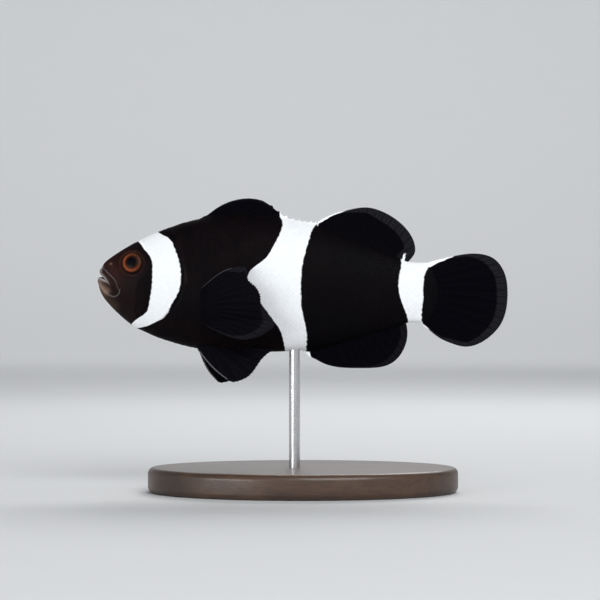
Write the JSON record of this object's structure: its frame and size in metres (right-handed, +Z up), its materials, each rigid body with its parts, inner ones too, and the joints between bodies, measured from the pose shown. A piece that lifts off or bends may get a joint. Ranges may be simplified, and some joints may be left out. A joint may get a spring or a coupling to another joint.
{
  "type": "black clownfish on display stand",
  "caption": "Life-size black clownfish with white bars and dark rounded fins, held level by a slim rod on a flat oval base.",
  "frame": {"origin": "middle of the stand's underside, below the middle of the fish's length", "axes": "+Z up, -X the way the fish looks, -Y its left side"},
  "size_m": [0.0818, 0.042, 0.0587],
  "materials": {
    "black_skin": "smooth scaly skin, satin, near black with white bars",
    "fin": "thin rayed skin, satin, near black with grey margins",
    "eye": "clear and wet, orange-brown ring round a black pupil",
    "wood": "dark oiled, satin",
    "steel": "brushed"
  },
  "bodies": {
    "root": {"head": "black_skin", "lower_jaw": "black_skin", "gill_cover_left": "black_skin", "gill_cover_right": "black_skin", "trunk": "black_skin", "tail_stalk": "black_skin", "dorsal_fin_spiny": "fin", "dorsal_fin_soft": "fin", "anal_fin": "fin", "caudal_fin": "fin", "pectoral_fin_left": "fin", "pectoral_fin_right": "fin", "pelvic_fin_left": "fin", "pelvic_fin_right": "fin", "eye_left": "eye", "eye_right": "eye", "stand_base": "wood", "stand_rod": "steel"}
  },
  "joints": []
}
